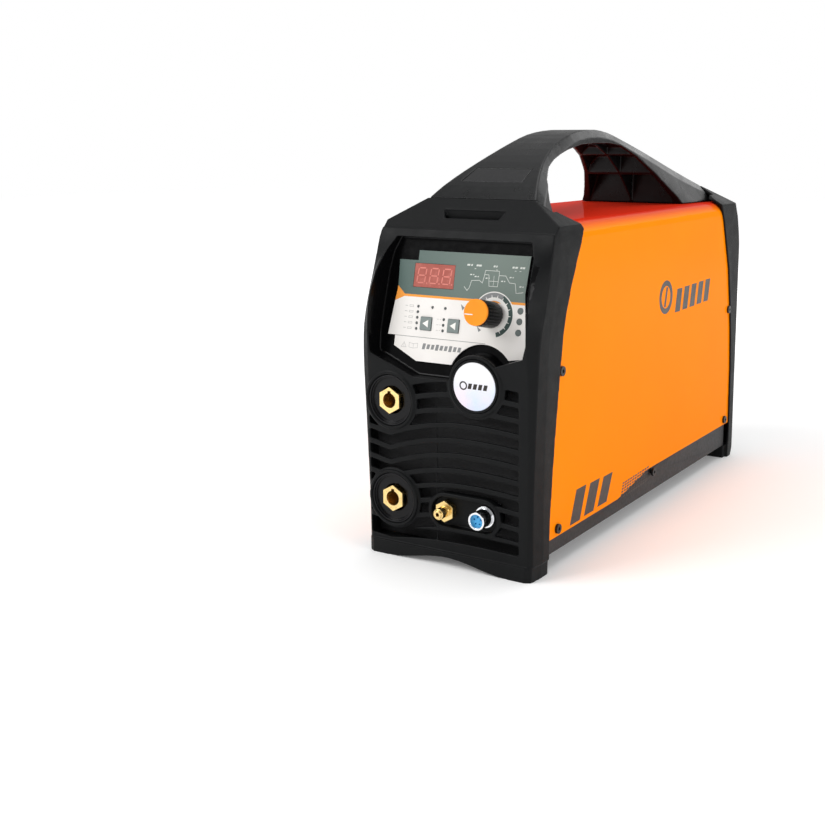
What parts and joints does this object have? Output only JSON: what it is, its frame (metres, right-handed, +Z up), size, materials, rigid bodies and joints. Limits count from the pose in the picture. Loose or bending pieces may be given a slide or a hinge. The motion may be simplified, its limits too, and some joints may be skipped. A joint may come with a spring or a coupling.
{
  "type": "tig welding machine",
  "caption": "Portable inverter tungsten arc welding power source: sheet cover between plastic end frames, arched carry handle, tilted control panel, brass output sockets.",
  "frame": {"origin": "centre of the bounding box in plan, at floor level under the feet", "axes": "+Y runs to the back (the control panel faces -Y), +X to the right seen from the front, +Z up"},
  "size_m": [0.174, 0.5, 0.365],
  "materials": {
    "frame_plastic": "fine grain",
    "handle_plastic": "fine grain",
    "inlay_plastic": "smooth",
    "cover_paint": "gloss enamel",
    "tray_paint": "satin powder coat",
    "screw_black": "blackened steel",
    "steel": "satin",
    "chrome": "polished",
    "brass": "turned",
    "film": "printed satin film",
    "plate": "satin",
    "window": "tinted",
    "display": "satin",
    "board": "solder mask",
    "key_cap": "satin",
    "led_lens": "clear grey",
    "lens_grey": "satin",
    "knob_black": "satin",
    "knob_orange": "satin",
    "badge_white": "pearl",
    "socket_black": "satin",
    "insert_blue": "satin",
    "nylon_black": "satin",
    "rocker_red": "satin",
    "fan_plastic": "satin",
    "aluminium": "extruded",
    "module_black": "epoxy",
    "capacitor_sleeve": "shrink sleeve",
    "ferrite": "sintered",
    "winding": "taped copper",
    "copper": "bare",
    "hose_rubber": "matte"
  },
  "bodies": {
    "machine": {"front_bezel": "frame_plastic", "rear_bezel": "frame_plastic", "cover": "cover_paint", "cover_screws": "screw_black", "base_tray": "tray_paint", "handle": "handle_plastic", "handle_inlay": "inlay_plastic", "handle_bolts": "steel", "badge_ring": "frame_plastic", "badge_disc": "badge_white", "panel_film": "film", "panel_plate": "plate", "display_window": "window", "display_module": "display", "control_board": "board", "board_posts": "steel", "key_switches": "nylon_black", "status_leds": "led_lens", "indicator_lenses": "lens_grey", "encoder": "steel", "socket_body_lower": "socket_black", "socket_body_upper": "socket_black", "socket_brass_lower": "brass", "socket_brass_upper": "brass", "nylon_nuts": "nylon_black", "steel_nuts": "steel", "brass_nuts": "brass", "gas_outlet": "brass", "control_shell": "chrome", "control_insert": "insert_blue", "switch_body": "nylon_black", "cable_gland": "nylon_black", "gas_inlet": "brass", "earth_stud": "brass", "fan_frame": "fan_plastic", "fan_guard": "steel", "fan_screws": "steel", "deck": "aluminium", "heatsinks": "aluminium", "power_modules": "module_black", "power_board": "board", "capacitors": "capacitor_sleeve", "transformer_core": "ferrite", "transformer_winding": "winding", "output_choke": "winding", "arc_start_board": "board", "arc_start_coil": "winding", "gas_valve": "steel", "hose_front": "hose_rubber", "hose_rear": "hose_rubber", "busbar_lower": "copper", "busbar_upper": "copper"},
    "knob": {"knob_shaft": "aluminium", "knob_body": "knob_black", "knob_cap": "knob_orange"},
    "key_left": {"button_left": "key_cap"},
    "key_right": {"button_right": "key_cap"},
    "rocker": {"switch_rocker": "rocker_red"},
    "fan": {"fan_rotor": "fan_plastic"}
  },
  "joints": [
    {"name": "knob_turn", "type": "hinge", "parent": "machine", "child": "knob", "pos_m": [0.0343, -0.21986, 0.21538], "axis": [0, -0.9781, 0.2079], "continuous": true},
    {"name": "key_left_press", "type": "slide", "parent": "machine", "child": "key_left", "axis": [0, 0.9781, -0.2079], "range_m": [0, 0.0004], "stiffness_N_per_m": 800, "springref_m": -0.0004},
    {"name": "key_right_press", "type": "slide", "parent": "machine", "child": "key_right", "axis": [0, 0.9781, -0.2079], "range_m": [0, 0.0004], "stiffness_N_per_m": 800, "springref_m": -0.0004},
    {"name": "power_rocker", "type": "hinge", "parent": "machine", "child": "rocker", "pos_m": [-0.042, 0.232, 0.203], "axis": [1, 0, 0], "range_deg": [0, 20]},
    {"name": "fan_spin", "type": "hinge", "parent": "machine", "child": "fan", "pos_m": [0, 0.2175, 0.12], "axis": [0, 1, 0], "continuous": true}
  ]
}
